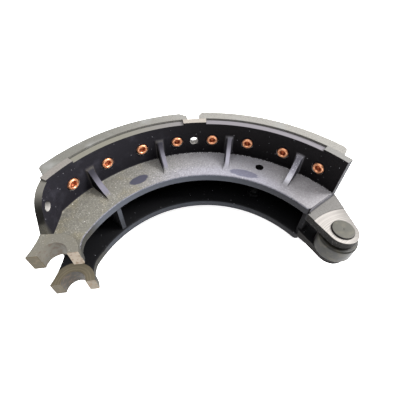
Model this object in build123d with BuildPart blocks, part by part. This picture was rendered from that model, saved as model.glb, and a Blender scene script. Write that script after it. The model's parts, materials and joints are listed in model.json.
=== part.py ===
"""Cast brake shoe of a heavy S-cam drum brake, with its two riveted linings and its cam roller.

All sizes are in millimetres. The origin is on the axis of the anchor pin, half way across the
shoe. +Z runs along the drum axis, +Y points from the anchor towards the lining and +X towards
the cam roller. Angles on the shoe are taken about the drum axis, from +Y towards +X.
"""

import os
from math import asin, atan2, cos, degrees, hypot, isclose, radians, sin, sqrt

from build123d import *

os.makedirs("parts", exist_ok=True)

# Drum, lining and shoe width
drum_radius = 205.0
shoe_width = 160.0
lining_thickness = 13.5
lining_end_angle = 56.2
lining_end_draft = 1.1
lining_end_round = 6.5
lining_gap_angle = 4.4
lining_shift_angle = -0.4
anchor_block_chamfer_angle = 2.6
cam_block_chamfer_angle = 1.1
lining_chamfer_depth = 6.5

# Table: the curved plate that carries the linings
table_thickness = 8.8
table_end_angle = 58.8
cast_edge_depth = 2.5
anchor_pad_angle = 47.6
cam_pad_angle = 49.5
centre_pad_width = 28.2

# Webs: the two curved plates inside the table
web_depth = 65.0
web_gap = 40.0
web_thickness = 11.0
web_edge_round = 2.2
web_corner_radius = 6.0

# Anchor end: two open forks that sit on the anchor pin
anchor_depth = 53.0
anchor_angle = -76.6
seat_radius = 13.3
prong_width = 11.1
mouth_tilt = 2.3
boss_radius = 23.6
boss_height = 10.5
seat_face_height = 0.6
neck_angle = 64.3
neck_hollow = 2.4
fork_side_hollow = 1.2
fork_shoulder_height = 24.0

# Anchor end of the table: it runs on as a flat plate with rounded corners
plate_start_angle = 58.2
plate_thickness = 7.4
plate_lean = 4.6
plate_corner_height = 42.0
plate_foot_height = 34.0
plate_corner_radius = 25.0

# Cam end: two ears that hold the roller pin
roller_depth = 45.5
roller_angle = 72.1
ear_gap = 24.0
ear_thickness = 10.0
ear_end_radius = 17.6
ear_root_depth = 63.5
ear_shoulder_depth = 11.5
ear_root_hollow = 3.0
ear_face_depth = 0.6
ear_cutter_radius = 76.0
ear_cutter_reach = 26.2
ear_cutter_angle = 160.0

# Ribs and gussets
gussets_per_side = 4
gusset_start_angle = -43.2
gusset_pitch_angle = 28.6
gusset_thickness = 6.6
gusset_toe_depth = 55.5
gusset_head_height = 63.6
gusset_head_overlap = 0.3
gusset_hollow = 5.0
cross_rib_depth = 62.0
cross_rib_thickness = 5.5
end_wall_depth = 60.0
end_wall_thickness = 6.5

# Holes
table_hole_radius = 5.3
centre_hole_angle = -0.4
centre_hole_height = 52.2
plate_hole_height = 60.0
plate_hole_above_anchor = 45.0
spring_hole_radius = 5.2
spring_hole_depth = 37.0
spring_hole_angle = 28.8
spring_boss_radius = 9.5
spring_boss_height = 7.0

# Rivets
rivet_pitch_angle = 14.4
rivet_shift_angle = -0.15
rivets_per_row = 8
rivet_row_height = 52.8
rivet_shank_radius = 4.0
rivet_hole_clearance = 0.2
rivet_head_radius = 7.5
rivet_head_thickness = 2.0
rivet_counterbore_clearance = 0.8
lining_under_head = 5.5
rivet_tail_radius = 6.9
rivet_tail_height = 3.2
rivet_roll_rise = 2.0
rivet_recess_radius = 8.0
rivet_recess_depth = 1.2
rivet_bore_radius = 3.5
rivet_bore_depth = 9.0

# Roller and pin
pin_radius = 12.5
pin_proud = 2.2
pin_chamfer = 0.7
centre_mark_radius = 0.9
centre_mark_taper = 40.0
roller_radius = 21.6
roller_length = 21.5
roller_rest_clearance = 0.3
roller_running_clearance = 0.05
roller_chamfer = 1.4

# Rounding of the inner corners of the casting
root_fillet = 4.4
web_fillet = 2.6

# Shapes that join run this far into each other
embed = 2.0

# Values worked out from the sizes above
table_outer_radius = drum_radius - lining_thickness
table_inner_radius = table_outer_radius - table_thickness
web_inner_radius = drum_radius - web_depth
anchor_pitch_radius = drum_radius - anchor_depth
roller_pitch_radius = drum_radius - roller_depth
ear_root_radius = drum_radius - ear_root_depth
ear_shoulder_radius = drum_radius - ear_shoulder_depth
gusset_toe_radius = drum_radius - gusset_toe_depth
gusset_head_radius = table_inner_radius + gusset_head_overlap
cross_rib_radius = drum_radius - cross_rib_depth
end_wall_radius = drum_radius - end_wall_depth
spring_hole_pitch_radius = drum_radius - spring_hole_depth
half_width = shoe_width / 2
cast_half_width = half_width - cast_edge_depth
web_inner_face = web_gap / 2
web_outer_face = web_inner_face + web_thickness
boss_face = web_outer_face + boss_height
seat_inner_face = web_inner_face - seat_face_height
ear_inner_face = ear_gap / 2
ear_outer_face = ear_inner_face + ear_thickness
pin_half_length = ear_outer_face + pin_proud
prong_edge = seat_radius + prong_width
first_rivet_angle = rivet_shift_angle - rivet_pitch_angle * (rivets_per_row - 1) / 2
rivet_angles = [first_rivet_angle + rivet_pitch_angle * i for i in range(rivets_per_row)]
gusset_angles = [gusset_start_angle + gusset_pitch_angle * i for i in range(gussets_per_side)]
drum_x = -anchor_pitch_radius * sin(radians(anchor_angle))
drum_y = -anchor_pitch_radius * cos(radians(anchor_angle))
drum_plane = Plane(origin=(drum_x, drum_y, 0))


def polar(radius, angle):
    """Point at a radius and angle about the drum axis, in the drum plane's own x and y."""
    return (radius * sin(radians(angle)), radius * cos(radians(angle)))


def near_anchor(x, y):
    """Point given from the anchor pin's axis, in the drum plane's own x and y."""
    return (x - drum_x, y - drum_y)


def on_mouth(x):
    """Point on the line of the fork's end faces, x along that line from the anchor axis."""
    return near_anchor(x * cos(radians(mouth_tilt)), x * sin(radians(mouth_tilt)))


def radial_plane(angle):
    """Plane through the drum axis: x is the radius, y is +Z, its normal points round the shoe."""
    s, c = sin(radians(angle)), cos(radians(angle))
    return Plane(origin=(drum_x, drum_y, 0), x_dir=(s, c, 0), z_dir=(c, -s, 0))


def drill_plane(angle, radius, height):
    """Plane square to a radius of the drum: its normal points outwards."""
    s, c = sin(radians(angle)), cos(radians(angle))
    origin = (drum_x + radius * s, drum_y + radius * c, height)
    return Plane(origin=origin, x_dir=(c, -s, 0), z_dir=(s, c, 0))


def drum_polar(edge):
    """Radius and angle of an edge's middle about the drum axis."""
    middle = edge @ 0.5
    x, y = middle.X - drum_x, middle.Y - drum_y
    return hypot(x, y), degrees(atan2(x, y))


def in_web_corner(edge):
    """Whether an edge lies where a face of the web meets the table or a gusset."""
    radius, angle = drum_polar(edge)
    height = (edge @ 0.5).Z
    in_bays = -plate_start_angle < angle < table_end_angle - 1
    at_gusset = isclose(height, web_outer_face) and radius > gusset_toe_radius + embed
    at_table = isclose(height, web_inner_face) and isclose(radius, table_inner_radius)
    return in_bays and (at_gusset or at_table)


def on_free_side(edge):
    """Whether an edge of the web lies on its inner side or on its cam end."""
    radius, angle = drum_polar(edge)
    return radius < ear_root_radius + embed or angle > table_end_angle - 1


def in_gusset_head(edge):
    """Whether an edge lies where the side of a gusset meets the table."""
    radius, angle = drum_polar(edge)
    return isclose(radius, table_inner_radius, rel_tol=0.001) and abs(angle) < anchor_pad_angle


def sector(inner, outer, start, end):
    """Flat ring sector about the drum axis, from the start to the end angle."""
    with BuildSketch() as ring:
        with BuildLine():
            CenterArc((0, 0), outer, 90 - end, end - start)
            Line(polar(outer, start), polar(inner, start))
            CenterArc((0, 0), inner, 90 - end, end - start)
            Line(polar(inner, end), polar(outer, end))
        make_face()
    return ring.sketch


# The flat anchor-end plate leaves the table's inner face at this point
plate_top = polar(table_inner_radius, -plate_start_angle)
lean_sin, lean_cos = sin(radians(plate_lean)), cos(radians(plate_lean))
plate_plane = Plane(
    origin=(plate_top[0] + drum_x, plate_top[1] + drum_y, 0),
    x_dir=(-lean_sin, -lean_cos, 0),
    z_dir=(-lean_cos, lean_sin, 0),
)
plate_outer_start = (
    plate_top[0] - plate_thickness * lean_cos,
    plate_top[1] + plate_thickness * lean_sin,
)
# Up the plate's outer face, this far to the table's outer face
climb = plate_outer_start[0] * lean_sin + plate_outer_start[1] * lean_cos
plate_overlap = sqrt(climb**2 + table_outer_radius**2 - hypot(*plate_outer_start) ** 2) - climb
plate_outer_top = (
    plate_outer_start[0] + plate_overlap * lean_sin,
    plate_outer_start[1] + plate_overlap * lean_cos,
)
table_start_angle = degrees(atan2(*plate_outer_top))
plate_drop_to_anchor = (plate_top[1] + drum_y) / lean_cos
plate_corner_drop = plate_drop_to_anchor - plate_corner_height / lean_cos
plate_foot_drop = plate_drop_to_anchor - plate_foot_height / lean_cos
shoulder_drop = plate_drop_to_anchor - fork_shoulder_height / lean_cos
fork_shoulder = (
    plate_outer_start[0] - shoulder_drop * lean_sin,
    plate_outer_start[1] - shoulder_drop * lean_cos,
)
roller_centre = polar(roller_pitch_radius, roller_angle)
ear_cutter_centre = (
    roller_centre[0]
    + (ear_cutter_radius - ear_cutter_reach) * sin(radians(ear_cutter_angle)),
    roller_centre[1]
    + (ear_cutter_radius - ear_cutter_reach) * cos(radians(ear_cutter_angle)),
)
centre_pad_angle = degrees(asin(centre_pad_width / 2 / table_inner_radius))
rivet_tail_seat = table_inner_radius + rivet_recess_depth

# One casting: table, webs, forks, ears, ribs, gussets and side pads
with BuildPart() as shoe_casting:
    # Webs, each running into a fork, with rounded free edges
    with BuildSketch(drum_plane.offset(web_inner_face)):
        with BuildLine():
            CenterArc((0, 0), web_inner_radius, 90 - table_end_angle, table_end_angle + neck_angle)
            SagittaArc(polar(web_inner_radius, -neck_angle), on_mouth(prong_edge), -neck_hollow)
            Line(on_mouth(prong_edge), on_mouth(-prong_edge))
            SagittaArc(on_mouth(-prong_edge), fork_shoulder, -fork_side_hollow)
            Line(fork_shoulder, plate_outer_top)
            CenterArc(
                (0, 0),
                table_outer_radius,
                90 - table_end_angle,
                table_end_angle - table_start_angle,
            )
            Line(
                polar(table_outer_radius, table_end_angle),
                polar(web_inner_radius, table_end_angle),
            )
        make_face()
        corner = (*polar(web_inner_radius, table_end_angle), 0)
        fillet(vertices().sort_by_distance(corner)[0], web_corner_radius)
    extrude(amount=web_thickness)
    fillet(edges().group_by(Axis.Z)[-1].filter_by(on_free_side), web_edge_round)
    fillet(edges().group_by(Axis.Z)[0].filter_by(on_free_side), web_edge_round)
    # The rounding stops short of the table, where the end of the web stays square
    square_start = table_end_angle - 2 * degrees(web_edge_round / table_inner_radius)
    with BuildSketch(drum_plane.offset(web_inner_face)):
        add(
            sector(
                table_inner_radius - 2 * web_fillet,
                table_outer_radius,
                square_start,
                table_end_angle,
            )
        )
    extrude(amount=web_thickness)
    # Table
    with BuildSketch(drum_plane.offset(-cast_half_width)):
        add(sector(table_inner_radius, table_outer_radius, -plate_start_angle, table_end_angle))
    extrude(amount=2 * cast_half_width)
    # Flat plate at the anchor end
    with BuildSketch(plate_plane):
        with BuildLine():
            Polyline(
                (-plate_overlap, cast_half_width),
                (plate_corner_drop, cast_half_width),
                (shoulder_drop, boss_face),
                (shoulder_drop, -boss_face),
                (plate_corner_drop, -cast_half_width),
                (-plate_overlap, -cast_half_width),
                close=True,
            )
        make_face()
        fillet(vertices().group_by(Axis.X)[1], plate_corner_radius)
        with Locations((shoulder_drop, 0)):
            Rectangle(2 * (shoulder_drop - plate_foot_drop), web_gap, mode=Mode.SUBTRACT)
    extrude(amount=plate_thickness)
    # Fork bosses
    with BuildSketch(drum_plane.offset(seat_inner_face)):
        with BuildLine():
            SagittaArc(on_mouth(-prong_edge), fork_shoulder, -fork_side_hollow)
            Line(fork_shoulder, near_anchor(0, boss_radius))
            CenterArc(near_anchor(0, 0), boss_radius, mouth_tilt, 90 - mouth_tilt)
            Line(on_mouth(boss_radius), on_mouth(-prong_edge))
        make_face()
    extrude(amount=boss_face - seat_inner_face)
    # Ears
    with BuildSketch(drum_plane.offset(ear_inner_face)):
        with BuildLine():
            CenterArc(roller_centre, ear_end_radius, 0, 360)
            Polyline(
                polar(ear_root_radius, table_end_angle),
                polar(ear_root_radius + embed, table_end_angle - embed),
                polar(table_outer_radius - embed, table_end_angle - embed),
                polar(ear_shoulder_radius, table_end_angle),
            )
        make_hull()
    extrude(amount=ear_thickness + ear_face_depth)
    # Hollow corner where the end of the web meets the ear
    corner_length = ear_shoulder_radius - ear_root_radius - 2 * ear_root_hollow
    corner_start = ear_root_radius + ear_root_hollow
    corner_height = ear_outer_face + ear_face_depth
    with BuildSketch(drill_plane(table_end_angle, corner_start, corner_height)):
        with Locations((ear_root_hollow / 2, -ear_root_hollow / 2)):
            Rectangle(ear_root_hollow, ear_root_hollow)
        with Locations((ear_root_hollow, -ear_root_hollow)):
            Circle(ear_root_hollow, mode=Mode.SUBTRACT)
    extrude(amount=corner_length)
    # The machined face on each ear, cut by a large face mill
    with BuildSketch(drum_plane.offset(ear_outer_face)):
        with Locations(ear_cutter_centre):
            Circle(ear_cutter_radius)
    extrude(amount=ear_face_depth, mode=Mode.SUBTRACT)
    # Spring-pin boss on the inner face of each web
    with BuildSketch(drum_plane.offset(web_inner_face)):
        with Locations(polar(spring_hole_pitch_radius, spring_hole_angle)):
            Circle(spring_boss_radius)
    extrude(amount=-spring_boss_height)
    # Gussets between the web and the table
    for angle in gusset_angles:
        with BuildSketch(radial_plane(angle)):
            with BuildLine():
                SagittaArc(
                    (gusset_toe_radius, web_outer_face),
                    (gusset_head_radius, gusset_head_height),
                    -gusset_hollow,
                )
                Polyline(
                    (gusset_head_radius, gusset_head_height),
                    (table_inner_radius + embed, gusset_head_height),
                    (table_inner_radius + embed, web_outer_face - embed),
                    (gusset_toe_radius, web_outer_face - embed),
                    (gusset_toe_radius, web_outer_face),
                )
            make_face()
        extrude(amount=gusset_thickness / 2, both=True)
    # Rounded corners between web, gussets and table
    fillet(edges().filter_by(Axis.Z).filter_by(in_gusset_head), root_fillet)
    fillet(edges().filter_by(in_web_corner), web_fillet)
    # Machined pads along the edge of the table, flush with the lining
    with BuildSketch(drum_plane.offset(cast_half_width - embed)):
        add(sector(table_inner_radius, table_outer_radius, -plate_start_angle, -anchor_pad_angle))
        add(sector(table_inner_radius, table_outer_radius, -centre_pad_angle, centre_pad_angle))
        add(sector(table_inner_radius, table_outer_radius, cam_pad_angle, table_end_angle))
    extrude(amount=cast_edge_depth + embed)
    mirror(about=Plane.XY)
    # The table's end is trimmed flush with the plate's outer face
    with BuildSketch(plate_plane.offset(plate_thickness)):
        Rectangle(4 * plate_overlap, shoe_width)
    extrude(amount=plate_thickness, mode=Mode.SUBTRACT)
    # Cross rib and end wall between the webs
    with BuildSketch(radial_plane(gusset_angles[0])):
        with Locations(((cross_rib_radius + table_inner_radius) / 2, 0)):
            Rectangle(table_inner_radius - cross_rib_radius + embed, web_gap + embed)
    extrude(amount=cross_rib_thickness / 2, both=True)
    with BuildSketch(radial_plane(table_end_angle)):
        with Locations(((end_wall_radius + table_inner_radius) / 2, 0)):
            Rectangle(table_inner_radius - end_wall_radius + embed, web_gap + embed)
    extrude(amount=-end_wall_thickness)
    # Anchor pin seats, open below
    with BuildSketch(Plane.XY.offset(-boss_face)):
        Circle(seat_radius)
    extrude(amount=2 * boss_face, mode=Mode.SUBTRACT)
    # Roller pin bores
    with BuildSketch(drum_plane.offset(-ear_outer_face)):
        with Locations(roller_centre):
            Circle(pin_radius)
    extrude(amount=2 * ear_outer_face, mode=Mode.SUBTRACT)
    # Spring-pin holes
    with BuildSketch(drum_plane.offset(-web_outer_face)):
        with Locations(polar(spring_hole_pitch_radius, spring_hole_angle)):
            Circle(spring_hole_radius)
    extrude(amount=2 * web_outer_face, mode=Mode.SUBTRACT)
    # Rivet holes and the centre holes of the table
    for side in (-1, 1):
        for angle in rivet_angles:
            height = side * rivet_row_height
            with BuildSketch(drill_plane(angle, table_inner_radius - embed, height)):
                Circle(rivet_shank_radius + rivet_hole_clearance)
            extrude(amount=table_thickness + 2 * embed, mode=Mode.SUBTRACT)
            # The table is spot-faced where the rivet's tail is rolled over
            with BuildSketch(drill_plane(angle, rivet_tail_seat - embed, height)):
                Circle(rivet_recess_radius)
            extrude(amount=embed, mode=Mode.SUBTRACT)
        hole_plane = drill_plane(
            centre_hole_angle, table_inner_radius - embed, side * centre_hole_height
        )
        with BuildSketch(hole_plane):
            Circle(table_hole_radius)
        extrude(amount=table_thickness + 2 * embed, mode=Mode.SUBTRACT)
        # Hole in the anchor-end plate
        with BuildSketch(plate_plane):
            drop = plate_drop_to_anchor - plate_hole_above_anchor / lean_cos
            with Locations((drop, side * plate_hole_height)):
                Circle(table_hole_radius)
        extrude(amount=plate_thickness, mode=Mode.SUBTRACT)
shoe_casting.part.label = "shoe_casting"
export_step(shoe_casting.part, "parts/shoe_casting.step")

# Two lining blocks, drilled and counterbored for the rivets
rivet_seat_radius = table_outer_radius + lining_under_head
lining_seam_radius = drum_radius - lining_chamfer_depth


def lining_outline(seam, top_seam, end, top_end):
    """Side view of one friction block: chamfered at the seam, drafted and rounded at its end."""
    with BuildSketch() as outline:
        with BuildLine():
            CenterArc((0, 0), drum_radius, 90 - top_seam, top_seam - top_end)
            Line(polar(drum_radius, top_end), polar(table_outer_radius, end))
            CenterArc((0, 0), table_outer_radius, 90 - seam, seam - end)
            Polyline(
                polar(table_outer_radius, seam),
                polar(lining_seam_radius, seam),
                polar(drum_radius, top_seam),
            )
        make_face()
        corner = vertices().sort_by_distance((*polar(drum_radius, top_end), 0))[0]
        fillet(corner, lining_end_round)
    return outline.sketch


# Drill and counterbore cutters, shared by both blocks
with BuildPart() as rivet_cutters:
    for side in (-1, 1):
        for angle in rivet_angles:
            height = side * rivet_row_height
            with BuildSketch(drill_plane(angle, table_outer_radius - embed, height)):
                Circle(rivet_shank_radius + rivet_hole_clearance)
            extrude(amount=lining_thickness)
            with BuildSketch(drill_plane(angle, rivet_seat_radius, height)):
                Circle(rivet_head_radius + rivet_counterbore_clearance)
            extrude(amount=lining_thickness)

with BuildPart() as lining_anchor_end:
    with BuildSketch(drum_plane.offset(-half_width)):
        add(
            lining_outline(
                lining_shift_angle - lining_gap_angle / 2,
                lining_shift_angle - lining_gap_angle / 2 - anchor_block_chamfer_angle,
                lining_shift_angle - lining_end_angle,
                lining_shift_angle - lining_end_angle + lining_end_draft,
            )
        )
    extrude(amount=shoe_width)
    add(rivet_cutters.part, mode=Mode.SUBTRACT)
lining_anchor_end.part.label = "lining_anchor_end"
export_step(lining_anchor_end.part, "parts/lining_anchor_end.step")

with BuildPart() as lining_cam_end:
    with BuildSketch(drum_plane.offset(-half_width)):
        add(
            lining_outline(
                lining_shift_angle + lining_gap_angle / 2,
                lining_shift_angle + lining_gap_angle / 2 + cam_block_chamfer_angle,
                lining_shift_angle + lining_end_angle,
                lining_shift_angle + lining_end_angle - lining_end_draft,
            )
        )
    extrude(amount=shoe_width)
    add(rivet_cutters.part, mode=Mode.SUBTRACT)
lining_cam_end.part.label = "lining_cam_end"
export_step(lining_cam_end.part, "parts/lining_cam_end.step")

# Tubular rivets: flat head in the lining, hollow tail rolled over inside the table
rivet_crest_radius = (rivet_bore_radius + rivet_tail_radius) / 2
with BuildPart() as lining_rivets:
    for side in (-1, 1):
        for angle in rivet_angles:
            section = drill_plane(angle, 0, side * rivet_row_height)
            flat = Plane(origin=section.origin, x_dir=(0, 0, 1), z_dir=-section.x_dir)
            with BuildSketch(flat):
                with BuildLine():
                    Polyline(
                        (0, rivet_seat_radius + rivet_head_thickness),
                        (rivet_head_radius, rivet_seat_radius + rivet_head_thickness),
                        (rivet_head_radius, rivet_seat_radius),
                        (rivet_shank_radius, rivet_seat_radius),
                        (rivet_shank_radius, rivet_tail_seat),
                        (rivet_tail_radius, rivet_tail_seat),
                        (rivet_tail_radius, rivet_tail_seat - rivet_roll_rise),
                        (rivet_crest_radius, rivet_tail_seat - rivet_tail_height),
                        (rivet_bore_radius, rivet_tail_seat - rivet_roll_rise),
                        (rivet_bore_radius, rivet_tail_seat + rivet_bore_depth),
                        (0, rivet_tail_seat + rivet_bore_depth),
                        close=True,
                    )
                make_face()
            revolve(axis=Axis(section.origin, section.z_dir))
lining_rivets.part.label = "lining_rivets"
export_step(lining_rivets.part, "parts/lining_rivets.step")

# Roller pin, held in the ears
with BuildPart() as roller_pin:
    with BuildSketch(drum_plane.offset(-pin_half_length)):
        with Locations(roller_centre):
            Circle(pin_radius)
    extrude(amount=2 * pin_half_length)
    chamfer(edges().filter_by(GeomType.CIRCLE), pin_chamfer)
    # Centre marks left by turning
    for side in (-1, 1):
        with BuildSketch(drum_plane.offset(side * pin_half_length)):
            with Locations(roller_centre):
                Circle(centre_mark_radius)
        extrude(amount=-side * centre_mark_radius, taper=centre_mark_taper, mode=Mode.SUBTRACT)
roller_pin.part.label = "roller_pin"
export_step(roller_pin.part, "parts/roller_pin.step")

# Cam roller, free to turn on the pin; lying on its side, it has slid down to the lower ear
roller_low_face = roller_rest_clearance - ear_inner_face
with BuildPart() as cam_roller:
    with BuildSketch(drum_plane.offset(roller_low_face)):
        with Locations(roller_centre):
            Circle(roller_radius)
    extrude(amount=roller_length)
    chamfer(edges().filter_by(GeomType.CIRCLE), roller_chamfer)
    with BuildSketch(drum_plane.offset(roller_low_face)):
        with Locations(roller_centre):
            Circle(pin_radius + roller_running_clearance)
    extrude(amount=roller_length, mode=Mode.SUBTRACT)
cam_roller.part.label = "cam_roller"
export_step(cam_roller.part, "parts/cam_roller.step")
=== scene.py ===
"""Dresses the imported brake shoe: finishes for its casting, linings, rivets, pin and cam roller.

Lengths are in metres in the part's own frame: the origin is on the anchor axis half way across
the shoe, +Z runs along the drum axis, +Y towards the linings and +X towards the cam roller.
"""

import json
from functools import reduce
from math import pi, radians, tan
from types import SimpleNamespace

import bmesh
import bpy
import numpy as np
from bpy.props import FloatProperty, PointerProperty, StringProperty
from mathutils import Matrix, Vector


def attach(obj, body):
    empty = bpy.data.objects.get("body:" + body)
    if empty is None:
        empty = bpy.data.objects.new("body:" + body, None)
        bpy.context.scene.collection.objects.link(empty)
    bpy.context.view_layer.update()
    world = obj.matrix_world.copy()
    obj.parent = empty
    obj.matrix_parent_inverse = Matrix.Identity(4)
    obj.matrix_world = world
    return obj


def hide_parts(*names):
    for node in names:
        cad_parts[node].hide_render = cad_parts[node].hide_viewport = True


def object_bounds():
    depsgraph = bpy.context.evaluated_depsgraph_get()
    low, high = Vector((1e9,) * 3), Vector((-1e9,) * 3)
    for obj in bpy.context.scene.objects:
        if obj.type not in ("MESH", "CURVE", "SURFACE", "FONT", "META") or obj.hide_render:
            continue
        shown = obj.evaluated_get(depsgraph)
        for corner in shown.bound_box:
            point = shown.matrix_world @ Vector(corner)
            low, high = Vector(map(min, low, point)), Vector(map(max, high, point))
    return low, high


bl_info = {
    "name": "Brake shoe",
    "version": (1, 0, 0),
    "blender": (4, 5, 0),
    "location": "3D View > Sidebar > Brake shoe",
    "description": "Rivets, roller, pin and finishes of a cast drum-brake shoe",
    "category": "Object",
}

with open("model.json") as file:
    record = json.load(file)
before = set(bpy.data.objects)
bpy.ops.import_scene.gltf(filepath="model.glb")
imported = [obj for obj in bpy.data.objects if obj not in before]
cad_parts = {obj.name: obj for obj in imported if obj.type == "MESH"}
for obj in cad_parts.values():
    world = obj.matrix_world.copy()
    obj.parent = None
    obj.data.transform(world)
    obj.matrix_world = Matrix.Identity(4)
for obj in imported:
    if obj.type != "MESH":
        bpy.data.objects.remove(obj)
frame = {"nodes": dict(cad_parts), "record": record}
cad_low, cad_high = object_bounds()
MOUNTS = {m["name"]: Vector(m["pos_m"]) for m in frame["record"]["mounts"]}
ROLLER_AXIS = MOUNTS["roller_axis"]
DRUM_AXIS = Vector((0.147862, -0.035226, 0.0))
FIRST_RIVET, RIVET_PITCH, RIVETS = radians(-50.55), radians(14.4), 8
FIRST_GUSSET, GUSSET_PITCH = radians(-43.2), radians(28.6)
MOUTH_SLOPE = tan(radians(2.3))
# Axis of the face mill that cut the ears, as (x, y), and the plate's hole, as (0, y, height)
CUTTER_AXIS = (0.31667, -0.03302)
PLATE_HOLE = (0.0, 0.045, 0.060)
RIVET_SIDES, PIN_SIDES, ROLLER_SIDES = 32, 96, 128
CAMERA_PLACE = Vector((0.12208, -0.14436, 0.27805))
CAMERA_RIGHT = Vector((0.9952, -0.0972, 0.0091))
CAMERA_FORWARD = Vector((0.0730, 0.6784, -0.7310))
MM = 0.001

# Noises on the casting: size in millimetres, detail and roughness
CASTING_NOISES = {
    # Grain of the sand mould, about 0.4 mm and too fine to show, so it is drawn at 1.6 mm
    "grit": (1.6, 3.0, 0.75),
    # Blooms of rust on filed iron
    "rust": (4.0, 3.0, 0.5),
    # Leaves out most of the specks, and frays the smudge
    "rare": (5.0, 1.0, 0.5),
    # Dust on the paint, and the uneven edge of its spill
    "haze": (14.0, 5.0, 0.5),
    # Slow stains on the bare iron
    "stain": (22.0, 4.0, 0.5),
}


def length(name, default, text):
    """A length the user can change, kept in metres."""
    return FloatProperty(name=name, description=text, default=default, unit="LENGTH", precision=5)


def colour(name, default, text):
    """A colour the user can change, kept as an sRGB hex string."""
    return StringProperty(name=name, description=text, default=default)


class ShoeSizes(bpy.types.PropertyGroup):
    """Sizes of the turned and rolled pieces"""

    rivet_seat: length("Rivet seat", 0.1839, "Radius of the spot faces that the tails roll on to")
    rivet_head_seat: length("Rivet head seat", 0.1970, "Radius of the lining under the heads")
    rivet_row: length("Rivet row", 0.0528, "Height of each row of rivets from the middle plane")
    rivet_tail: length("Rivet tail", 0.0069, "Radius of the rolled rivet tail")
    rivet_bore: length("Rivet bore", 0.0035, "Radius of the hollow in the rivet tail")
    rivet_rise: length("Rivet rise", 0.0028, "Height of the rolled tail above its spot face")
    rivet_wall: length("Rivet wall", 0.0008, "Height of the tail's upright rim")
    rivet_bowl: length("Rivet bowl", 0.0028, "Depth of the hollow below the tail's rim")
    rivet_head: length("Rivet head", 0.0075, "Radius of the rivet head")
    rivet_head_height: length("Rivet head height", 0.0020, "Thickness of the rivet head")
    rivet_shank: length("Rivet shank", 0.0040, "Radius of the rivet shank")
    pin_radius: length("Pin radius", 0.0125, "Radius of the roller pin")
    pin_half: length("Pin half length", 0.0242, "Half the length of the roller pin")
    pin_chamfer: length("Pin chamfer", 0.0007, "Chamfer at the ends of the roller pin")
    pin_mark: length("Pin centre mark", 0.0009, "Radius of the centre mark in the pin's ends")
    roller_radius: length("Roller radius", 0.0216, "Outer radius of the cam roller")
    roller_low: length("Roller low face", -0.0117, "Height of the roller's low face")
    roller_length: length("Roller length", 0.0215, "Length of the cam roller")
    roller_chamfer: length("Roller chamfer", 0.0014, "Chamfer at the roller's rims")
    roller_play: length("Roller play", 0.00005, "Clearance of the roller on its pin")


class ShoeColours(bpy.types.PropertyGroup):
    """Colours of the finishes, as sRGB hex"""

    paint: colour("Black paint", "#18171c", "Satin black paint on the table, plate and channel")
    skin: colour("Cast skin", "#5d5b54", "Blasted grey iron at the anchor end of the webs")
    # Lighter than the skin: partly the iron's tone, partly painted sheen of the light from the
    # right
    skin_cam: colour("Cast skin, cam end", "#747378", "Blasted grey iron beyond the anchor end")
    # Black paint drawn slate on the free edges: painted reflection of the pale floor
    edge: colour("Web edge", "#40434a", "Thin slate paint on the free edges of the webs")
    pad: colour("Milled pad", "#8f8982", "Milled iron of the side pads")
    ear: colour("Milled ear", "#6b6865", "Iron faced by a large mill round the pin")
    fork: colour("Milled fork", "#84796c", "Milled iron of the fork's end faces")
    lining: colour("Lining", "#595853", "Friction composite")
    copper: colour("Copper", "#dca07c", "Copper of the rivets")
    pin: colour("Pin steel", "#3a3933", "Phosphated steel of the pin")
    roller: colour("Roller steel", "#171612", "Oiled hard steel of the roller")
    floor: colour("Floor", "#f4f4f4", "Plain studio floor")


def linear(shade):
    """sRGB hex to linear RGBA, by the sRGB curve. A node's output stays as it is."""
    if isinstance(shade, bpy.types.NodeSocket):
        return shade
    c = np.array([int(shade[i : i + 2], 16) for i in (1, 3, 5)]) / 255
    c = np.where(c <= 0.04045, c / 12.92, ((c + 0.055) / 1.055) ** 2.4)
    return (*c.tolist(), 1.0)


def add(tree, kind, *values, out=0, named=None, **settings):
    """Adds a node with its settings, fills its inputs with values or links, gives one output.

    The values fill the inputs in order, and named fills them by name or place. A noise's inputs
    are its place, W, scale, detail and roughness.
    """
    node = tree.nodes.new(kind)
    for key, value in settings.items():
        setattr(node, key, value)
    for key, value in [*enumerate(values), *(named or {}).items()]:
        if isinstance(value, bpy.types.NodeSocket):
            tree.links.new(value, node.inputs[key])
        else:
            node.inputs[key].default_value = value
    return node.outputs[out] if node.outputs else node


def where(tree, *limits):
    """Mask that is 1 where each value is past its limit: (value, figure for 0, figure for 1).

    Two more figures in a limit take the places of 0 and 1. A ready mask counts as it is.
    """
    shares = [
        limit
        if isinstance(limit, bpy.types.NodeSocket)
        else add(tree, "ShaderNodeMapRange", *limit, interpolation_type="SMOOTHSTEP")
        for limit in limits
    ]
    return reduce(lambda a, b: add(tree, "ShaderNodeMath", a, b, operation="MULTIPLY"), shares)


def layered(tree, base, *layers):
    """Colour made by laying each layer over the ones before it.

    A layer is its colour, as sRGB hex or a node's output, and then limits as where takes them.
    """
    base = linear(base)
    for shade, *limits in layers:
        parts = {0: where(tree, *limits), 6: base, 7: linear(shade)}
        base = add(tree, "ShaderNodeMix", named=parts, data_type="RGBA", out=2)
    return base


def off_axis(tree, place, x, y):
    """Vector from the line through (x, y) along Z, square to it, and its length."""
    offset = add(tree, "ShaderNodeVectorMath", place, (x, y, 0.0), operation="SUBTRACT")
    flat = add(tree, "ShaderNodeVectorMath", offset, (1.0, 1.0, 0.0), operation="MULTIPLY")
    return flat, add(tree, "ShaderNodeVectorMath", flat, operation="LENGTH", out="Value")


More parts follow.
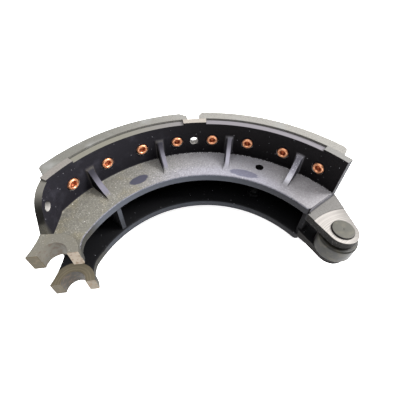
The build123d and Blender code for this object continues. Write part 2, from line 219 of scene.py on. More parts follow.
def patch(tree, polar, middle, reach, wobble):
    """Mask of an uneven round patch: middle and reach are (radius, angle) about the drum axis."""
    radius, angle = polar
    deep = add(tree, "ShaderNodeMath", radius, middle[0], operation="SUBTRACT")
    deep = add(tree, "ShaderNodeMath", deep, reach[0], operation="DIVIDE")
    round_shoe = add(tree, "ShaderNodeMath", angle, radians(middle[1]), operation="SUBTRACT")
    round_shoe = add(tree, "ShaderNodeMath", round_shoe, radians(reach[1]), operation="DIVIDE")
    share = add(tree, "ShaderNodeCombineXYZ", deep, round_shoe, wobble)
    share = add(tree, "ShaderNodeVectorMath", share, operation="LENGTH", out="Value")
    return where(tree, (share, 1.25, 0.95))


def new_material(name):
    """Empty node material and its tree."""
    material = bpy.data.materials.new(name)
    material.use_nodes = True
    material.node_tree.nodes.clear()
    return material, material.node_tree


def finish_surface(tree, base, roughness, relief, depth, metallic, specular, rounding):
    """Principled shader with a bump of the given depth and edges rounded for the light."""
    soft = add(tree, "ShaderNodeBevel", rounding, samples=4)
    bump = {"Strength": 1.0, "Distance": depth, "Height": relief, "Normal": soft}
    shader = add(
        tree,
        "ShaderNodeBsdfPrincipled",
        named={
            "Base Color": base,
            "Metallic": metallic,
            "Roughness": roughness,
            "Specular IOR Level": specular,
            "Normal": add(tree, "ShaderNodeBump", named=bump),
        },
    )
    add(tree, "ShaderNodeOutputMaterial", shader)


def casting_places(tree):
    """Coordinates and patterns that the casting's masks and colours read.

    radius and angle are about the drum axis, and height is from the middle plane. outward is 1 on
    faces that look away from the middle plane and -1 on those that look towards it. radial is 1
    on faces that look away from the drum axis and -1 on those that look towards it. across is the
    distance round the shoe from the nearest gusset's middle. hollow is 0 on a gusset's side walls,
    and 1 and more on its hollow face.
    """
    place = add(tree, "ShaderNodeTexCoord", out="Object")
    normal = add(tree, "ShaderNodeTexCoord", out="Normal")
    x, y, z = (add(tree, "ShaderNodeSeparateXYZ", place, out=axis) for axis in "XYZ")
    normal_z = add(tree, "ShaderNodeSeparateXYZ", normal, out="Z")
    side = add(tree, "ShaderNodeMath", z, operation="SIGN")
    outward = add(tree, "ShaderNodeMath", normal_z, side, operation="MULTIPLY")
    from_drum, radius = off_axis(tree, place, DRUM_AXIS.x, DRUM_AXIS.y)
    drum_x, drum_y = (add(tree, "ShaderNodeSeparateXYZ", from_drum, out=axis) for axis in "XY")
    angle = add(tree, "ShaderNodeMath", drum_x, drum_y, operation="ARCTAN2")
    ray = add(tree, "ShaderNodeVectorMath", from_drum, operation="NORMALIZE")
    radial = add(tree, "ShaderNodeVectorMath", ray, normal, operation="DOT_PRODUCT", out="Value")
    turn = add(tree, "ShaderNodeMath", angle, FIRST_GUSSET, operation="SUBTRACT")
    turn = add(tree, "ShaderNodeMath", turn, GUSSET_PITCH / 2, -GUSSET_PITCH / 2, operation="WRAP")
    noises = {
        name: add(tree, "ShaderNodeTexNoise", place, 0.0, 1 / (size * MM), *rest, out="Fac")
        for name, (size, *rest) in CASTING_NOISES.items()
    }
    # Light specks up to 1 mm across, at most one in each cell of 4.5 mm
    specks = add(tree, "ShaderNodeTexVoronoi", named={"Vector": place, "Scale": 1 / (4.5 * MM)})
    return SimpleNamespace(
        place=place,
        x=x,
        y=y,
        z=z,
        height=add(tree, "ShaderNodeMath", z, operation="ABSOLUTE"),
        outward=outward,
        radius=radius,
        angle=angle,
        radial=radial,
        from_anchor=off_axis(tree, place, 0.0, 0.0)[1],
        across=add(tree, "ShaderNodeMath", turn, radius, operation="MULTIPLY"),
        hollow=add(tree, "ShaderNodeMath", outward, radial, operation="SUBTRACT"),
        specks=specks,
        **noises,
    )


def web_and_gusset_faces(tree, p):
    """Masks of the webs and gussets. A web's outer face is 31 mm from the middle plane."""
    web = where(
        tree,
        (p.outward, 0.30, 0.62),
        (p.height, 30.2 * MM, 30.8 * MM),
        (p.height, 32.5 * MM, 31.6 * MM),
    )
    # What frays the edges of a spill and a smudge of paint on the web
    slip = add(tree, "ShaderNodeMath", p.haze, 1.2, operation="MULTIPLY")
    blot = add(tree, "ShaderNodeMath", p.rare, 2.2, -1.1, operation="MULTIPLY_ADD")
    polar = (p.radius, p.angle)
    # Light ragged line on the fillet where the web meets the table: bare iron where the paint
    # stops, and a painted highlight along the fillet
    paint_line_and_glint = where(
        tree,
        (p.outward, 0.30, 0.42),
        (p.outward, 0.75, 0.55),
        (p.grit, 0.48, 0.56, 0.0, 0.8),
        (p.radius, 150 * MM, 165 * MM),
        (p.height, 36 * MM, 34.5 * MM),
        (p.x, 0.08, 0.12),
    )
    beside = add(tree, "ShaderNodeMath", p.across, operation="ABSOLUTE")
    gusset = where(tree, (beside, 7.5 * MM, 3.4 * MM), (p.radius, 182.6 * MM, 180.0 * MM))
    hollow_face, side_wall = (p.hollow, 0.5, 0.8), (p.hollow, 0.8, 0.5)
    return SimpleNamespace(
        web=web,
        spill=patch(tree, polar, (156.6 * MM, -27.8), (7.0 * MM, 5.0), slip),
        smudge=patch(tree, polar, (150.0 * MM, 23.0), (5.6 * MM, 6.6), blot),
        paint_line_and_glint=paint_line_and_glint,
        gusset=where(tree, gusset, hollow_face, (p.height, 32 * MM, 37 * MM)),
        gusset_foot=where(tree, gusset, hollow_face, (p.height, 31.0 * MM, 31.2 * MM)),
        gusset_wall=where(tree, gusset, side_wall, (p.height, 31.5 * MM, 33 * MM)),
        free_edge=where(
            tree,
            (p.outward, 0.90, 0.70),
            (p.outward, -0.75, -0.45),
            (p.radius, 142.6 * MM, 141.6 * MM),
        ),
    )


def table_and_plate_faces(tree, p):
    """Masks of the table and the plate at its end.

    The table's faces have radii of 182.7 and 191.5 mm. Its cast edges are 77.5 mm from the middle
    plane, and the milled pads 80 mm. It runs from the plate, at -58.2 degrees, to 58.8 degrees.
    """
    outer = (p.outward, 0.3, 0.7)
    past_edge = (p.height, 76.9 * MM, 77.3 * MM)
    on_plate = (p.angle, radians(-57.5), radians(-58.5))
    not_inside = (p.radial, -0.75, -0.45)
    plate = where(tree, on_plate, (p.from_anchor, 28 * MM, 32 * MM))
    from_hole = add(tree, "ShaderNodeCombineXYZ", 0.0, p.y, p.height)
    from_hole = add(
        tree, "ShaderNodeVectorMath", from_hole, PLATE_HOLE, operation="DISTANCE", out="Value"
    )
    return SimpleNamespace(
        hole_wall=where(
            tree,
            (p.radius, 182.60 * MM, 182.75 * MM),
            (p.radius, 191.4 * MM, 191.3 * MM),
            (p.radial, -0.7, -0.4),
            (p.height, 76.5 * MM, 76.0 * MM),
            (p.angle, radians(57.5), radians(57.0)),
            (p.angle, radians(-56.5), radians(-56.0)),
        ),
        end=where(
            tree,
            (p.angle, radians(58.70), radians(58.76)),
            (p.radius, 182.6 * MM, 182.8 * MM),
        ),
        rim=where(tree, past_edge, outer, (p.angle, radians(-58.5), radians(-57.5))),
        # Painted shade under the linings' overhang, a dark line along the cast edge
        seam=where(
            tree,
            (p.radius, 190.8 * MM, 191.1 * MM),
            past_edge,
            (p.height, 79.0 * MM, 78.5 * MM),
            outer,
        ),
        pads=where(tree, (p.height, 78.5 * MM, 79.5 * MM), outer),
        plate_rim=where(tree, (plate, 0.0, 1.0), not_inside, (p.height, 31 * MM, 33 * MM)),
        plate_hole=where(tree, on_plate, not_inside, (from_hole, 9 * MM, 8 * MM)),
    )


def fork_and_ear_faces(tree, p):
    """Masks of the forks on the anchor pin and of the ears that hold the roller pin."""
    outer = (p.outward, 0.3, 0.7)
    mouth_rise = add(tree, "ShaderNodeMath", p.x, MOUTH_SLOPE, operation="MULTIPLY")
    mouth_rise = add(tree, "ShaderNodeMath", p.y, mouth_rise, operation="SUBTRACT")
    return SimpleNamespace(
        fork_side=where(tree, (p.height, 30.5 * MM, 31.5 * MM), (p.from_anchor, 34 * MM, 26 * MM)),
        fork_face=where(
            tree,
            (p.height, 36 * MM, 40 * MM),
            (p.height, 53 * MM, 49 * MM),
            outer,
            (p.from_anchor, 50 * MM, 45 * MM),
        ),
        seat=where(tree, (p.from_anchor, 13.6 * MM, 13.4 * MM)),
        mouth=where(tree, (mouth_rise, 0.5 * MM, 0.2 * MM), (p.x, 0.045, 0.035)),
        seat_face=where(
            tree,
            (p.height, 19.9 * MM, 19.6 * MM),
            (p.outward, -0.3, -0.7),
            (p.from_anchor, 25.5 * MM, 23.5 * MM),
        ),
        ear_skin=where(tree, (p.angle, radians(58.85), radians(59.0)), outer),
        ear_face=where(
            tree, (p.height, 22.35 * MM, 22.2 * MM), (p.height, 21.6 * MM, 21.9 * MM), outer
        ),
        ear_wall=where(
            tree,
            (p.angle, radians(58.7), radians(59.0)),
            (p.outward, 0.75, 0.45),
            (p.outward, -0.75, -0.45),
        ),
        step_face=where(
            tree,
            (p.angle, radians(58.60), radians(58.72)),
            (p.radius, 182.8 * MM, 182.4 * MM),
            (p.height, 22.5 * MM, 22.9 * MM),
        ),
    )


def skin_colour(tree, p, colours):
    """Bare blasted iron: gritty, stained and dusty, olive by the anchor and greyer and lighter
    beyond it, lavender towards the free edge. These slow changes are partly the iron's tone and
    partly painted sheen of the light from the right.
    """
    anchor_side = (p.x, 0.20, 0.08, 0.5, 1.0)
    return layered(
        tree,
        colours.skin,
        # Greyer and lighter towards the cam end, lavender towards the free edge: partly the iron's
        # tone, partly painted sheen
        (colours.skin_cam, (p.x, 0.02, 0.20)),
        ("#6b644f", (p.stain, 0.48, 0.70, 0.0, 0.5), (p.x, 0.14, 0.04)),
        ("#807f8a", (p.radius, 162 * MM, 146 * MM, 0.0, 0.5), (p.x, 0.06, 0.14)),
        ("#747275", (p.x, 0.22, 0.27)),
        ("#4d4b48", (p.grit, 0.60, 0.30, 0.0, 0.8), anchor_side),
        ("#a9a6a2", (p.grit, 0.57, 0.72, 0.0, 0.6), anchor_side),
        ("#c9c7c1", (p.specks, 0.12, 0.06), (p.rare, 0.56, 0.62)),
    )


def paint_colour(tree, p, colours):
    """Satin black paint, hazed with dust and specked. The haze is thicker towards the anchor end,
    partly as painted light from the right, and the paint is darker towards the cam end and deepest
    in the channel between the webs, as painted shade.
    """
    return layered(
        tree,
        colours.paint,
        # Dust haze, thicker towards the anchor end: partly dust, partly painted light from the
        # right
        ("#34333a", (p.haze, 0.50, 0.85, 0.0, 0.5), (p.x, 0.22, 0.06)),
        # Darker towards the cam end: painted shade
        ("#0a080a", (p.x, 0.04, 0.20)),
        # Darker in the channel between the webs: painted shade
        ("#0b0b0d", (p.height, 29 * MM, 22 * MM), (p.radial, 0.4, 0.0)),
        ("#77777c", (p.specks, 0.14, 0.07), (p.rare, 0.54, 0.60)),
    )


def web_and_gusset_layers(tree, p, faces, skin, colours):
    """Layers on the webs and gussets: bare iron, spilt paint, painted light and shade on the
    gussets, and on the free edges slate that is painted reflection, shade and highlight.
    """
    lower = (p.z, 10 * MM, -10 * MM)
    gusset = layered(
        tree,
        "#5a5861",
        # Lighter towards the cam end: painted light from the right
        ("#898791", (p.x, 0.07, 0.24)),
        # Darker at the head by the table, more so towards the anchor end: painted shade
        ("#26252b", (p.radius, 166 * MM, 180 * MM), (p.x, 0.22, 0.08, 0.6, 1.0)),
        # White specks on the last gusset: painted glints
        ("#dcdce2", (p.grit, 0.60, 0.70), (p.x, 0.20, 0.24)),
        # Pale patch at the foot of the last gusset: painted highlight
        ("#cfcfd5", (p.height, 44 * MM, 37 * MM, 0.0, 0.4), (p.x, 0.22, 0.26)),
        # Dark strip down the left of the middle gussets: painted shade of their left flanks
        ("#17161a", (p.across, -1.2 * MM, -2.2 * MM), (p.x, 0.05, 0.07), (p.x, 0.25, 0.22)),
    )
    # Black paint on the gussets' side walls, lighter on the walls that face the cam end: painted
    # light
    wall = layered(tree, "#0a0a0b", ("#3c3b41", (p.across, 0.0, 0.5 * MM)))
    # Free edges: black paint drawn slate as painted reflection of the pale floor, darker towards
    # the cam end
    edge = layered(
        tree,
        colours.edge,
        ("#2c2c2f", (p.x, 0.14, 0.27)),
        # Darker on the lower web: painted shade
        ("#303237", lower),
        ("#2f2e2b", (p.from_anchor, 62 * MM, 40 * MM)),
        # Light line on the upper web's rounding, frayed by the grit: painted highlight
        ("#6b6a73", (p.outward, 0.3, 0.6), (p.z, 0.0, 1 * MM), (p.grit, 0.66, 0.42)),
        # Darker still on the lower web towards the cam end: painted shade
        ("#222224", lower, (p.x, 0.16, 0.27)),
    )
    on_web = (faces.web, 0.0, 1.0)
    return [
        (skin, faces.web),
        ("#35353f", (faces.spill, 0.0, 1.0), on_web),
        ("#464655", (faces.smudge, 0.0, 1.0, 0.0, 0.75), on_web),
        (skin, faces.gusset_foot),
        (gusset, faces.gusset),
        # Bare iron and painted highlight along the web's fillet
        ("#a3a2a4", faces.paint_line_and_glint),
        (wall, faces.gusset_wall),
        (edge, faces.free_edge),
    ]


def table_and_plate_layers(tree, p, faces, colours):
    """Layers on the table and plate: bare drilled holes, dull cast edges and milled pads, with
    painted shade under the linings and painted light and shade on the plate's edge and in its
    hole.
    """
    rim = layered(tree, "#615f57", ("#625f63", (p.x, 0.04, 0.18)))
    # Plate edge lighter towards the linings and near black below: painted light and shade
    plate_rim = layered(tree, "#0e0d0b", ("#56544f", (p.y, 34 * MM, 52 * MM)))
    # Hole wall light where it faces away from the middle plane, dark where it faces towards it:
    # painted light and shade
    plate_hole = layered(tree, "#1b1a19", ("#a19e9a", (p.outward, -0.3, 0.5)))
    pad = layered(
        tree,
        colours.pad,
        ("#736f6b", (p.x, 0.10, 0.05)),
        ("#6c6b69", (p.x, 0.22, 0.28)),
        ("#3d3b38", (p.grit, 0.62, 0.40, 0.0, 0.25)),
    )
    return [
        ("#a8a5a2", faces.hole_wall),
        ("#47474b", faces.end),
        (rim, faces.rim),
        # Painted shade under the linings
        ("#1f1e1e", faces.seam),
        (plate_rim, faces.plate_rim),
        (plate_hole, faces.plate_hole),
        (pad, faces.pads),
    ]


def fork_and_ear_layers(tree, p, faces, skin, colours):
    """Layers on forks and ears: filed and rusted seats, and bright ears ringed by a face mill."""
    # Filing marks round the anchor pin, closer on the real seats and drawn about 1.4 mm apart
    filed = add(tree, "ShaderNodeCombineXYZ", p.from_anchor, 0.0, 0.0)
    filed = add(tree, "ShaderNodeTexNoise", filed, 0.0, 1 / (1.4 * MM), 2.0, out="Fac")
    # Rings of the face mill about its axis, closer on the real ears and drawn about 1.1 mm apart
    rings = off_axis(tree, p.place, *CUTTER_AXIS)[1]
    rings = add(tree, "ShaderNodeCombineXYZ", rings, 0.0, 0.0)
    rings = add(tree, "ShaderNodeTexNoise", rings, 0.0, 1 / (1.1 * MM), 3.0, out="Fac")
    on_boss = (p.from_anchor, 24.6 * MM, 22.6 * MM, 0.0, 0.6)
    mouth = layered(
        tree,
        colours.fork,
        ("#6f675b", (p.z, 10 * MM, -10 * MM)),
        ("#463f2f", (p.x, 0.008, -0.008)),
        ("#6a5a46", (p.rust, 0.48, 0.66), (p.x, -0.008, 0.008, 0.3, 1.0)),
    )
    seat = layered(
        tree,
        "#57544d",
        ("#34312c", (p.z, 5 * MM, -5 * MM)),
        ("#4d4035", (p.rust, 0.45, 0.65, 0.0, 0.7)),
    )
    ear_wall = layered(
        tree,
        "#1b1a19",
        ("#333331", (p.x, 0.315, 0.335)),
        ("#5c5b58", (p.grit, 0.55, 0.70, 0.0, 0.6)),
    )
    ear_face = layered(
        tree,
        colours.ear,
        # Lighter towards the anchor side of the milled face: painted sheen
        ("#8b8783", (p.x, 0.318, 0.296)),
        ("#55524f", (rings, 0.42, 0.62, 0.0, 0.55)),
        ("#86827e", (p.stain, 0.50, 0.66, 0.0, 0.4)),
    )
    return [
        ("#45433d", faces.fork_side),
        (layered(tree, skin, ("#56534c", on_boss)), faces.fork_face),
        (seat, faces.seat),
        (mouth, faces.mouth),
        (layered(tree, "#4c463a", ("#6d6555", (filed, 0.45, 0.60, 0.0, 0.35))), faces.seat_face),
        ("#66656a", faces.step_face),
        (ear_wall, faces.ear_wall),
        (layered(tree, "#5f5d5b", ("#454341", (p.grit, 0.6, 0.3, 0.0, 0.5))), faces.ear_skin),
        (ear_face, faces.ear_face),
    ]


def casting_material(colours):
    """Grey iron, sand cast and blasted, painted inside, then milled where other pieces meet it.

    The bare webs are matte, gritty and stained, the painted bays satin black under dust, and the
    milled pads, seats and ears smoother and brighter, with the marks of their tools.
    """
    material, tree = new_material("sand_cast_grey_iron")
    p = casting_places(tree)
    webs = web_and_gusset_faces(tree, p)
    table = table_and_plate_faces(tree, p)
    ends = fork_and_ear_faces(tree, p)
    skin = skin_colour(tree, p, colours)
    body = layered(
        tree,
        paint_colour(tree, p, colours),
        *web_and_gusset_layers(tree, p, webs, skin, colours),
        *table_and_plate_layers(tree, p, table, colours),
        *fork_and_ear_layers(tree, p, ends, skin, colours),
    )
    milled = reduce(
        lambda a, b: add(tree, "ShaderNodeMath", a, b, operation="MAXIMUM"),
        [table.pads, ends.seat, ends.mouth, ends.ear_face, table.hole_wall],
    )
    finish_surface(
        tree,
        body,
        roughness=add(tree, "ShaderNodeMapRange", milled, 0.0, 1.0, 0.75, 0.5),
        relief=add(tree, "ShaderNodeMapRange", milled, 0.0, 1.0, p.grit, 0.5),
        depth=0.28 * MM,
        metallic=add(tree, "ShaderNodeMapRange", milled, 0.0, 1.0, 0.0, 0.2),
        specular=0.10,
        rounding=0.7 * MM,
    )
    return material


def lining_material(colours):
    """Friction composite of fibre and resin, moulded and ground: matte, with fine dark grains.

    The real grains are under 1 mm, so they are drawn at 1.6 mm, over slow shades of 26 mm.
    """
    material, tree = new_material("moulded_friction_composite")
    place = add(tree, "ShaderNodeTexCoord", out="Object")
    x = add(tree, "ShaderNodeSeparateXYZ", place, out="X")
    fine = add(tree, "ShaderNodeTexNoise", place, 0.0, 1 / (1.6 * MM), 3.0, 0.7, out="Fac")
    slow = add(tree, "ShaderNodeTexNoise", place, 0.0, 1 / (26 * MM), 2.0, out="Fac")
    body = layered(
        tree,
        colours.lining,
        ("#706e6a", (x, 0.02, 0.16)),
        ("#484642", (fine, 0.50, 0.30)),
        ("#6f6f6d", (slow, 0.50, 0.75)),
    )
    finish_surface(
        tree,
        body,
        roughness=0.85,
        relief=fine,
        depth=0.3 * MM,
        metallic=0.0,
        specular=0.3,
        rounding=0.6 * MM,
    )
    return material


def copper_material(colours):
    """Copper, cold rolled over its seat: satin and bright there, darker and redder deeper in and
    on the heads. In the hollow this is painted shade and painted reflection of light bounced in
    the copper.

    The marks of the rolling tool are finer than shows, so they are drawn at 1.5 mm.
    """
    material, tree = new_material("cold_rolled_copper")
    place = add(tree, "ShaderNodeTexCoord", out="Object")
    radius = off_axis(tree, place, DRUM_AXIS.x, DRUM_AXIS.y)[1]
    fine = add(tree, "ShaderNodeTexNoise", place, 0.0, 1 / (1.5 * MM), 2.0, out="Fac")
    body = layered(
        tree,
        colours.copper,
        ("#c4825c", (fine, 0.6, 0.4)),
        # Darker and redder deeper in: in the hollow painted shade and painted bounced light
        ("#8f4a2e", (radius, 182.6 * MM, 184.2 * MM)),
    )
    finish_surface(
        tree,
        body,
        roughness=0.36,
        relief=fine,
        depth=0.1 * MM,
        metallic=0.85,
        specular=0.5,
        rounding=0.3 * MM,
    )
    return material


def steel_material(name, steel, worn, oil_and_shade, roughness):
    """Steel, turned and coated thin and dark: dull, paler in worn patches.

    At a radius of 12.5 mm it is darker: oil in the roller's bore, and painted shade on the pin's
    side where it stands out of the ears. The grain of the coating is finer than shows, so it is
    drawn at
    2 mm, and the worn patches at 9 mm.
    """
    material, tree = new_material(name)
    place = add(tree, "ShaderNodeTexCoord", out="Object")
    fine = add(tree, "ShaderNodeTexNoise", place, 0.0, 1 / (2.0 * MM), 3.0, out="Fac")
    patches = add(tree, "ShaderNodeTexNoise", place, 0.0, 1 / (9 * MM), 3.0, out="Fac")
    radius = off_axis(tree, place, ROLLER_AXIS.x, ROLLER_AXIS.y)[1]
    body = layered(
        tree,
        steel,
        (worn, (patches, 0.45, 0.70)),
        # Darker at a radius of 12.5 mm: oil in the roller's bore, painted shade on the pin's side
        (oil_and_shade, (radius, 11.7 * MM, 11.9 * MM), (radius, 12.8 * MM, 12.6 * MM)),
    )
    finish_surface(
        tree,
        body,
        roughness=roughness,
        relief=fine,
        depth=0.08 * MM,
        metallic=0.15,
        specular=0.3,
        rounding=0.4 * MM,
    )
    return material


def ring_faces(rows, segments):
    """Quads between neighbouring rows of points on a grid that is closed the other way."""
    i = np.arange(rows - 1)[:, None]
    j = np.arange(segments)[None, :]
    k = (j + 1) % segments
    corners = [i * segments + j, i * segments + k, (i + 1) * segments + k, (i + 1) * segments + j]
    return np.stack(corners, -1).reshape(-1, 4)


def turned(profile, segments, origin, across, beside, along):
    """Points of surfaces of revolution, one for each origin, with their quads.

    Point (i, j) is the origin + d_i along + r_i (cos(2 pi j / n) across + sin(2 pi j / n) beside),
    where r_i and d_i are the profile's radius and height. Profiles that end at radius 0 close.
    """
    r, d = np.asarray(profile, float).T
    turn = 2 * pi * np.arange(segments) / segments
    origin, across, beside, along = (
        np.atleast_2d(v)[:, None, None, :] for v in (origin, across, beside, along)
    )
    ring = np.cos(turn)[:, None] * across + np.sin(turn)[:, None] * beside
    points = origin + d[:, None, None] * along + r[:, None, None] * ring
    quads = ring_faces(len(r), segments)
    quads = quads + len(r) * segments * np.arange(len(points))[:, None, None]
    return points.reshape(-1, 3), quads.reshape(-1, 4)


def rounded(corners, radius, steps=5):
    """Profile through the corners, each rounded by a parabola within this length of it.

    The parabola's point at t is (1 - t)^2 start + 2 t (1 - t) corner + t^2 end.
    """
    corners = np.asarray(corners, float)
    before, corner, after = corners[:-2], corners[1:-1], corners[2:]
    into, out_of = before - corner, after - corner
    room_in = np.linalg.norm(into, axis=1, keepdims=True)
    room_out = np.linalg.norm(out_of, axis=1, keepdims=True)
    start = corner + into / room_in * np.minimum(radius, room_in / 2)
    end = corner + out_of / room_out * np.minimum(radius, room_out / 2)
    t = np.linspace(0, 1, steps + 1)[None, :, None]
    bends = (1 - t) ** 2 * start[:, None] + 2 * t * (1 - t) * corner[:, None] + t**2 * end[:, None]
    return np.concatenate([corners[:1], bends.reshape(-1, 2), corners[-1:]])


def build_piece(name, points, quads, body, material, replaced):
    """Makes a closed smooth mesh of the points and quads, in place of a CAD node."""
    mesh = bpy.data.meshes.new(name)
    mesh.from_pydata(points.tolist(), [], quads.tolist())
    work = bmesh.new()
    work.from_mesh(mesh)
    bmesh.ops.remove_doubles(work, verts=work.verts, dist=1e-7)
    bmesh.ops.recalc_face_normals(work, faces=work.faces)
    work.to_mesh(mesh)
    work.free()
    mesh.polygons.foreach_set("use_smooth", np.ones(len(mesh.polygons), bool))
    mesh.set_sharp_from_angle(angle=radians(35))
    mesh.materials.append(material)
    piece = bpy.data.objects.new(name, mesh)
    bpy.context.scene.collection.objects.link(piece)
    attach(piece, body)
    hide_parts(replaced)


def redress(node, material):
    """Gives a CAD node its material."""
    slots = frame["nodes"][node].data.materials
    slots.clear()
    slots.append(material)


class SHOE_OT_casting(bpy.types.Operator):
    """Finish the iron casting"""

    bl_idname = "shoe.casting"
    bl_label = "Casting"

    def execute(self, context):
        redress("shoe_casting", casting_material(context.scene.shoe_colours))
        return {"FINISHED"}


class SHOE_OT_linings(bpy.types.Operator):
    """Finish the two friction linings"""

    bl_idname = "shoe.linings"
    bl_label = "Linings"

    def execute(self, context):
        material = lining_material(context.scene.shoe_colours)
        redress("lining_anchor_end", material)
        redress("lining_cam_end", material)
        return {"FINISHED"}


class SHOE_OT_rivets(bpy.types.Operator):
    """Make the tubular rivets with their rolled tails"""

    bl_idname = "shoe.rivets"
    bl_label = "Rivets"

    def execute(self, context):
        s = context.scene.shoe_sizes
        top = s.rivet_head_seat + s.rivet_head_height
        head = [(0, top), (s.rivet_head, top), (s.rivet_head, s.rivet_head_seat)]
        shank = [(s.rivet_shank, s.rivet_head_seat), (s.rivet_shank, s.rivet_seat)]
        # The roll is half an ellipse, from the tail's rim over to the hollow
        t = np.linspace(0, pi, 15)
        crest, half = (s.rivet_tail + s.rivet_bore) / 2, (s.rivet_tail - s.rivet_bore) / 2
        rim, rise = s.rivet_seat - s.rivet_wall, s.rivet_rise - s.rivet_wall
        roll = np.stack([crest + half * np.cos(t), rim - rise * np.sin(t)], -1)
        # Below it the hollow is a bowl, a quarter of an ellipse down to the axis
        t = np.linspace(0, pi / 2, 9)
        hollow = np.stack([s.rivet_bore * np.cos(t), rim + s.rivet_bowl * np.sin(t)], -1)
        stem = rounded(head + shank + [(s.rivet_tail, s.rivet_seat)], radius=0.3 * MM)
        profile = np.concatenate([stem, roll, hollow])
        angles = FIRST_RIVET + RIVET_PITCH * np.tile(np.arange(RIVETS), 2)
        zero, one = np.zeros_like(angles), np.ones_like(angles)
        rows = s.rivet_row * np.repeat([-1.0, 1.0], RIVETS)
        origin = np.stack([DRUM_AXIS.x * one, DRUM_AXIS.y * one, rows], -1)
        outwards = np.stack([np.sin(angles), np.cos(angles), zero], -1)
        round_shoe = np.stack([np.cos(angles), -np.sin(angles), zero], -1)
        up = np.stack([zero, zero, one], -1)
        points, quads = turned(profile, RIVET_SIDES, origin, round_shoe, up, outwards)
        material = copper_material(context.scene.shoe_colours)
        build_piece(
            "copper_rivets", points, quads, "shoe", material, "lining_rivets"
        )
        return {"FINISHED"}


class SHOE_OT_pin(bpy.types.Operator):
    """Make the roller pin, chamfered and centre marked"""

    bl_idname = "shoe.pin"
    bl_label = "Roller pin"

    def execute(self, context):
        s = context.scene.shoe_sizes
        r, h, mark, edge = s.pin_radius, s.pin_half, s.pin_mark, s.pin_chamfer
        upper = [(0, h - mark), (mark, h), (r - edge, h), (r, h - edge)]
        profile = rounded(upper + [(a, -b) for a, b in reversed(upper)], radius=0.4 * MM)
        material = steel_material(
            "phosphated_steel", context.scene.shoe_colours.pin, "#46433a", "#100e0c", 0.6
        )
        axis = (ROLLER_AXIS.x, ROLLER_AXIS.y, 0)
        points, quads = turned(profile, PIN_SIDES, axis, (1, 0, 0), (0, 1, 0), (0, 0, 1))
        build_piece(
            "roller_pin_turned", points, quads, "shoe", material, "roller_pin"
        )
        return {"FINISHED"}


class SHOE_OT_roller(bpy.types.Operator):
    """Make the cam roller, rounded at its rims"""

    bl_idname = "shoe.roller"
    bl_label = "Cam roller"

    def execute(self, context):
        s = context.scene.shoe_sizes
        r, c, bore = s.roller_radius, s.roller_chamfer, s.pin_radius + s.roller_play
        low, high = s.roller_low, s.roller_low + s.roller_length
        middle = (bore, (low + high) / 2)
        corners = [middle, (bore, low), (r - c, low), (r, low + c)]
        corners += [(r, high - c), (r - c, high), (bore, high), middle]
        profile = rounded(corners, radius=0.8 * MM)
        material = steel_material(
            "hardened_steel", context.scene.shoe_colours.roller, "#2b281d", "#14120f", 0.5
        )
        axis = (ROLLER_AXIS.x, ROLLER_AXIS.y, 0)
        points, quads = turned(profile, ROLLER_SIDES, axis, (1, 0, 0), (0, 1, 0), (0, 0, 1))
        build_piece(
            "cam_roller_turned", points, quads, "roller", material, "cam_roller"
        )
        return {"FINISHED"}


def area_light(name, place, target, size, power):
    """Soft square light aimed at a point."""
    data = bpy.data.lights.new(name, "AREA")
    data.shape, data.size, data.energy = "SQUARE", size, power
    light = bpy.data.objects.new(name, data)
    light.location = place
    light.rotation_mode = "QUATERNION"
    light.rotation_quaternion = (Vector(target) - Vector(place)).to_track_quat("-Z", "Y")
    bpy.context.scene.collection.objects.link(light)


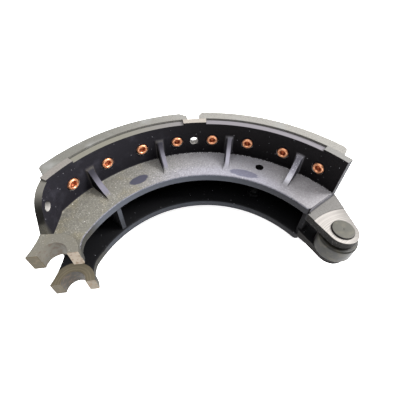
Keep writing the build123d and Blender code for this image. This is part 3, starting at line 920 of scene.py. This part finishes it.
class SHOE_OT_stage(bpy.types.Operator):
    """Set the floor, the lights and the camera"""

    bl_idname = "shoe.stage"
    bl_label = "Stage"

    def execute(self, context):
        scene = context.scene
        mesh = bpy.data.meshes.new("floor")
        half, z = 40.0, cad_low.z
        mesh.from_pydata(
            [(-half, -half, z), (half, -half, z), (half, half, z), (-half, half, z)],
            [],
            [(0, 1, 2, 3)],
        )
        floor = bpy.data.objects.new("floor", mesh)
        scene.collection.objects.link(floor)
        material, tree = new_material("studio_floor")
        white = linear(scene.shoe_colours.floor)
        matte = {
            "Base Color": white,
            "Roughness": 0.95,
            "Specular IOR Level": 0.0,
            "Emission Color": white,
            "Emission Strength": 1.0,
        }
        shader = add(tree, "ShaderNodeBsdfPrincipled", named=matte)
        add(tree, "ShaderNodeOutputMaterial", shader)
        mesh.materials.append(material)

        middle = (0.15, 0.08, 0.0)
        area_light("overhead_softbox", (0.15, 0.10, 2.0), middle, size=3.0, power=105)
        area_light("key_softbox", (1.4, 0.15, 1.1), middle, size=0.8, power=66)
        world = bpy.data.worlds.new("studio_air")
        world.use_nodes = True
        air = world.node_tree.nodes["Background"].inputs
        air["Color"].default_value = (1, 1, 1, 1)
        air["Strength"].default_value = 0.10
        scene.world = world
        scene.view_settings.view_transform = "Standard"

        data = bpy.data.cameras.new("camera")
        data.lens, data.sensor_width = 25.10, 36.0
        data.shift_x, data.shift_y = 0.0035, -0.0334
        data.clip_start, data.clip_end = 0.01, 100
        camera = bpy.data.objects.new("camera", data)
        right, forward = CAMERA_RIGHT.normalized(), CAMERA_FORWARD.normalized()
        up = right.cross(forward).normalized()
        turn = Matrix((right, up, -forward)).transposed()
        camera.matrix_world = Matrix.Translation(CAMERA_PLACE) @ turn.to_4x4()
        scene.collection.objects.link(camera)
        scene.camera = camera
        return {"FINISHED"}


class SHOE_PT_panel(bpy.types.Panel):
    """Lists the pieces of the shoe"""

    bl_idname = "SHOE_PT_panel"
    bl_label = "Brake shoe"
    bl_space_type = "VIEW_3D"
    bl_region_type = "UI"
    bl_category = "Brake shoe"

    def draw(self, context):
        for operator in OPERATORS:
            self.layout.operator(operator.bl_idname)
        for group in (context.scene.shoe_sizes, context.scene.shoe_colours):
            column = self.layout.column()
            for name in group.__annotations__:
                column.prop(group, name)


OPERATORS = (
    SHOE_OT_casting,
    SHOE_OT_linings,
    SHOE_OT_rivets,
    SHOE_OT_pin,
    SHOE_OT_roller,
    SHOE_OT_stage,
)
CLASSES = (ShoeSizes, ShoeColours, *OPERATORS, SHOE_PT_panel)


def register():
    for cls in CLASSES:
        bpy.utils.register_class(cls)
    bpy.types.Scene.shoe_sizes = PointerProperty(type=ShoeSizes)
    bpy.types.Scene.shoe_colours = PointerProperty(type=ShoeColours)


def unregister():
    del bpy.types.Scene.shoe_colours
    del bpy.types.Scene.shoe_sizes
    for cls in reversed(CLASSES):
        bpy.utils.unregister_class(cls)


def main():
    register()
    for step in ("casting", "linings", "rivets", "pin", "roller", "stage"):
        getattr(bpy.ops.shoe, step)()


if __name__ == "__main__":
    main()
